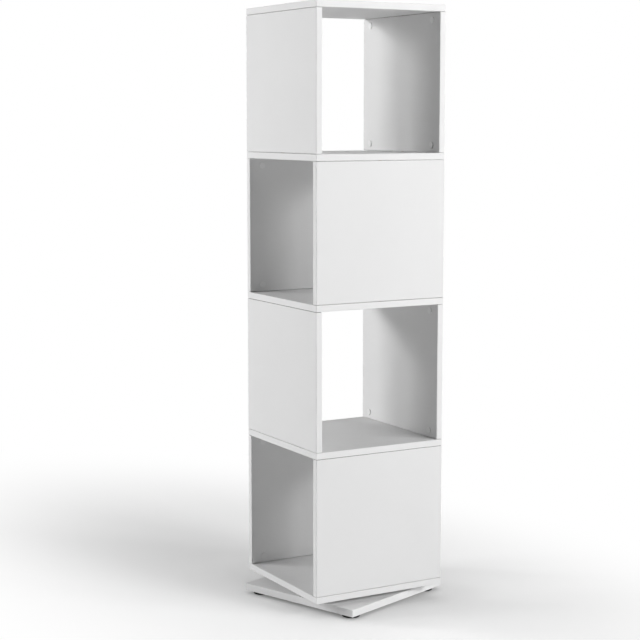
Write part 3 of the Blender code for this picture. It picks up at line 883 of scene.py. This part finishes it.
def add_balls(zinc):
    """The balls, and the thin cage that spaces them: a band that is taller round each ball.

    The band's half height is half of CAGE_HEIGHT plus CAGE_SWELL times exp(-(s / w) squared), where s is the
    distance along the race to the nearest ball and w is the ball's radius.
    """
    low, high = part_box("turntable_ball_ring")
    height = (low.z + high.z) / 2
    step = math.tau / BALL_COUNT
    tilt = np.linspace(0, math.pi, BALL_STEPS + 1)[1:-1]
    belt = [(BALL_RADIUS * math.sin(turn), BALL_RADIUS * math.cos(turn)) for turn in tilt]
    ball = lathe([(0.0, BALL_RADIUS), *belt, (0.0, -BALL_RADIUS)], BALL_SIDES)
    turns = [index * step for index in range(BALL_COUNT)]
    spots = [np.array([RACE_RADIUS * math.cos(turn), RACE_RADIUS * math.sin(turn), height]) for turn in turns]
    balls = mesh_of("balls", [ball + spot for spot in spots])
    add_piece("race_balls", balls, zinc, "zinc_steel", "turntable_ball_ring")

    columns = CAGE_COLUMNS_PER_BALL * BALL_COUNT
    angle = np.arange(columns) * math.tau / columns
    nearest = abs((angle + step / 2) % step - step / 2) * RACE_RADIUS
    half = CAGE_HEIGHT / 2 + CAGE_SWELL * np.exp(-((nearest / BALL_RADIUS) ** 2))
    inner = RACE_RADIUS - CAGE_THICKNESS / 2
    outer = RACE_RADIUS + CAGE_THICKNESS / 2
    edge = CAGE_EDGE_SHARE
    section = [(outer - CAGE_EASE, 1.0), (outer, edge), (outer, -edge), (outer - CAGE_EASE, -1.0),
               (inner + CAGE_EASE, -1.0), (inner, -edge), (inner, edge), (inner + CAGE_EASE, 1.0)]
    rows = [np.stack([radius * np.cos(angle), radius * np.sin(angle), height + share * half], axis=1)
            for radius, share in section]
    cage = mesh_of("cage", [np.stack(rows)], closed=True)
    plastic = moulded_plastic("cage_plastic", CAGE_GRAIN)
    add_piece("race_cage", cage, plastic, "black_plastic", "turntable_ball_ring")


def glide_grid(radius, height):
    """A glide on height 0: a drafted side with a fine step, a rounded foot and a hollow round its nail."""
    side = [(radius - inwards, height - down) for inwards, down in GLIDE_SIDE]
    foot = radius - GLIDE_DRAFT - GLIDE_SIDE[-1][0]
    outline = filleted([(NAIL_RADIUS, height), *side, (foot, 0.0), *GLIDE_HOLLOW], GLIDE_ROUNDING)
    return lathe([(0.0, height), *outline, (0.0, GLIDE_HOLLOW[-1][1])], GLIDE_SIDES)


def nail_grid(base, top):
    """A nail along +Z with its countersunk head down: from base, a domed head, a shank and a point at top."""
    head = [(radius, base + rise) for radius, rise in NAIL_HEAD]
    outline = [*head, (NAIL_RADIUS, top - NAIL_POINT), (0.0, top)]
    return lathe(filleted(outline, NAIL_ROUNDING, NAIL_FILLET_STEPS), NAIL_SIDES)


def add_glides(zinc):
    """The black glide and the nail under each corner of the base plate."""
    black = moulded_plastic("glide_plastic", GLIDE_GRAIN, DULL_GLOSS)
    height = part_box("base_plate")[0].z - PIECE_GAP
    for name, low, high in named("glide_"):
        place = above_middle(low, high, 0.0)
        pad = mesh_of("glide_pad", [glide_grid((high.x - low.x) / 2, height)], place)
        nail = mesh_of("glide_nail", [nail_grid(NAIL_BASE, high.z)], place)
        add_piece(name.replace("glide", "glide_pad"), pad, black, "black_plastic", name)
        add_piece(name.replace("glide", "glide_nail"), nail, zinc, "zinc_steel", name)


def seen_directly(tree):
    """1 for camera, glossy and transmission rays, 0 for all others."""
    path = add_node(tree, "LightPath").outputs
    seen = arithmetic(tree, "MAXIMUM", path["Is Camera Ray"], path["Is Glossy Ray"])
    return arithmetic(tree, "MAXIMUM", seen, path["Is Transmission Ray"])


def make_floor():
    """A pale floor that keeps the object's shadow and fades to white over an oval round it."""
    half = FLOOR_HALF
    corners = [(-half, -half, 0.0), (half, -half, 0.0), (half, half, 0.0), (-half, half, 0.0)]
    mesh = bpy.data.meshes.new("floor")
    mesh.from_pydata(corners, [], [(0, 1, 2, 3)])
    floor = link("floor", mesh)
    material = bpy.data.materials.new("studio_floor")
    material.use_nodes = True
    tree = material.node_tree
    tree.nodes.clear()
    place = add_node(tree, "TexCoord").outputs["Object"]
    oval = add_node(tree, "Mapping", {"vector_type": "TEXTURE"}, Vector=place, Location=OVAL_CENTRE,
                    Rotation=(0.0, 0.0, OVAL_TURN), Scale=(1.0, OVAL_STRETCH, 1.0)).outputs[0]
    distance = add_node(tree, "VectorMath", {"operation": "LENGTH"}, at0=oval).outputs["Value"]
    away = add_node(tree, "MapRange", {"interpolation_type": "SMOOTHERSTEP"}, Value=distance,
                    From_Min=FADE_START, From_Max=FADE_REACH).outputs[0]
    seen = seen_directly(tree)
    # Painted shade: the floor's colour and its glow darken where the object is near, by how open each point
    # is within CONTACT_REACH
    openness = add_node(tree, "AmbientOcclusion", Distance=CONTACT_REACH).outputs["AO"]
    painted_contact_shade = blended(tree, openness, CONTACT_SHADE, 1.0)
    pale = blended(tree, seen, FLOOR_COLOUR, arithmetic(tree, "MULTIPLY", painted_contact_shade, FLOOR_SEEN_COLOUR))
    colour = add_node(tree, "CombineColor", Red=pale, Green=pale, Blue=pale).outputs[0]
    diffuse = add_node(tree, "BsdfDiffuse", Color=colour).outputs[0]
    lift = arithmetic(tree, "MULTIPLY", arithmetic(tree, "MULTIPLY", seen, painted_contact_shade), FLOOR_LIFT)
    glow = add_node(tree, "Emission", Color=LIGHT_COLOUR, Strength=lift).outputs[0]
    near = add_node(tree, "AddShader", at0=diffuse, at1=glow).outputs[0]
    white = add_node(tree, "Emission", Color=LIGHT_COLOUR, Strength=1.0).outputs[0]
    far_share = arithmetic(tree, "MULTIPLY", seen, away)
    blend = add_node(tree, "MixShader", at0=far_share, at1=near, at2=white).outputs[0]
    tree.links.new(blend, add_node(tree, "OutputMaterial").inputs["Surface"])
    mesh.materials.append(material)


def make_world():
    """White to the camera and in reflections, a dim even light to everything else."""
    world = bpy.data.worlds.new("studio")
    bpy.context.scene.world = world
    world.use_nodes = True
    tree = world.node_tree
    tree.nodes.clear()
    strength = blended(tree, seen_directly(tree), AMBIENT, 1.0)
    background = add_node(tree, "Background", Color=LIGHT_COLOUR, Strength=strength).outputs[0]
    tree.links.new(background, add_node(tree, "OutputWorld").inputs["Surface"])


def make_softboxes():
    """Large soft lamps, each aimed at the middle of the object."""
    for name, (angle, distance, height, width, tall, power) in SOFTBOXES.items():
        turn = math.radians(angle)
        place = Vector((distance * math.cos(turn), distance * math.sin(turn), height))
        lamp = bpy.data.lights.new(name, "AREA")
        lamp.shape = "RECTANGLE"
        lamp.size = width
        lamp.size_y = tall
        lamp.energy = power
        softbox = link(name, lamp)
        softbox.location = place
        softbox.rotation_euler = (Vector((0.0, 0.0, AIM_HEIGHT)) - place).to_track_quat("-Z", "Y").to_euler()
        softbox.visible_camera = False


def make_camera():
    """The photograph's viewpoint: from the front left, tilted slightly down."""
    data = bpy.data.cameras.new("camera")
    data.sensor_width = CAMERA_SENSOR
    data.lens = CAMERA_LENS
    camera = link("camera", data)
    camera.location = CAMERA_PLACE
    camera.rotation_euler = (math.pi / 2 - CAMERA_PITCH, 0.0, -CAMERA_YAW)
    bpy.context.scene.camera = camera


bpy.context.scene.view_settings.view_transform = "Standard"
ZINC = zinc_plate()
add_boards()
add_dowels()
add_fittings(ZINC)
add_screws(ZINC)
add_rings()
add_balls(ZINC)
add_glides(ZINC)
make_floor()
make_world()
make_softboxes()
make_camera()
